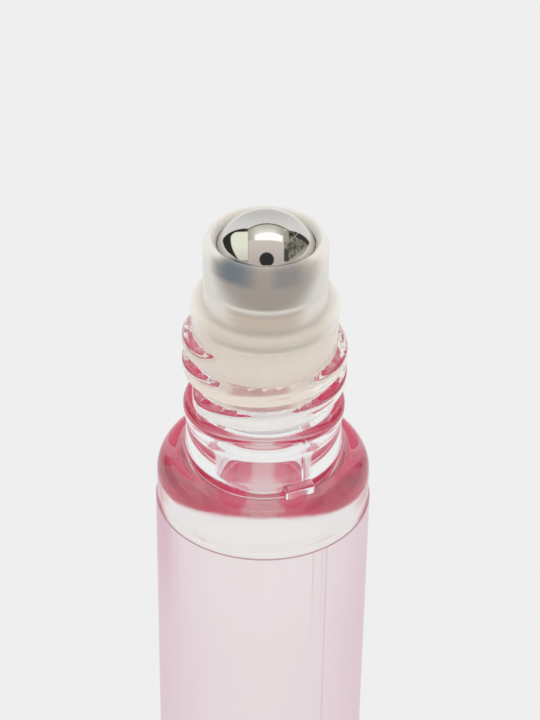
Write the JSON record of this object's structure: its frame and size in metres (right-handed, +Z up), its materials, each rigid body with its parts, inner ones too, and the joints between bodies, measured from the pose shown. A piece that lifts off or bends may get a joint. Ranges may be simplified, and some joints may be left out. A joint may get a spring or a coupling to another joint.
{
  "type": "roll-on perfume bottle",
  "caption": "Slim glass vial with a roll-on applicator: a steel ball held by a snap lip in a plastic housing pressed into the neck.",
  "frame": {"origin": "centre of the base, on the plane the bottle stands on", "axes": "+Z up the bottle's axis towards the ball; -Y is the front, the side that faces the camera; +X is to the right seen from the front"},
  "size_m": [0.0202, 0.0202, 0.0814],
  "materials": {
    "clear_glass": "clear, fire-polished",
    "natural_plastic": "natural polyethylene, milky and satin",
    "polished_steel": "mirror-polished stainless steel",
    "pink_perfume": "clear liquid",
    "frosted_film": "frosted translucent film"
  },
  "bodies": {
    "bottle": {"glass_bottle": "clear_glass", "roller_housing": "natural_plastic", "perfume_fill": "pink_perfume", "label_film": "frosted_film"},
    "ball": {"roller_ball": "polished_steel"}
  },
  "joints": [
    {"name": "ball_roll", "type": "hinge", "parent": "bottle", "child": "ball", "pos_m": [0, 0, 0.07665], "axis": [1, 0, 0], "continuous": true}
  ]
}
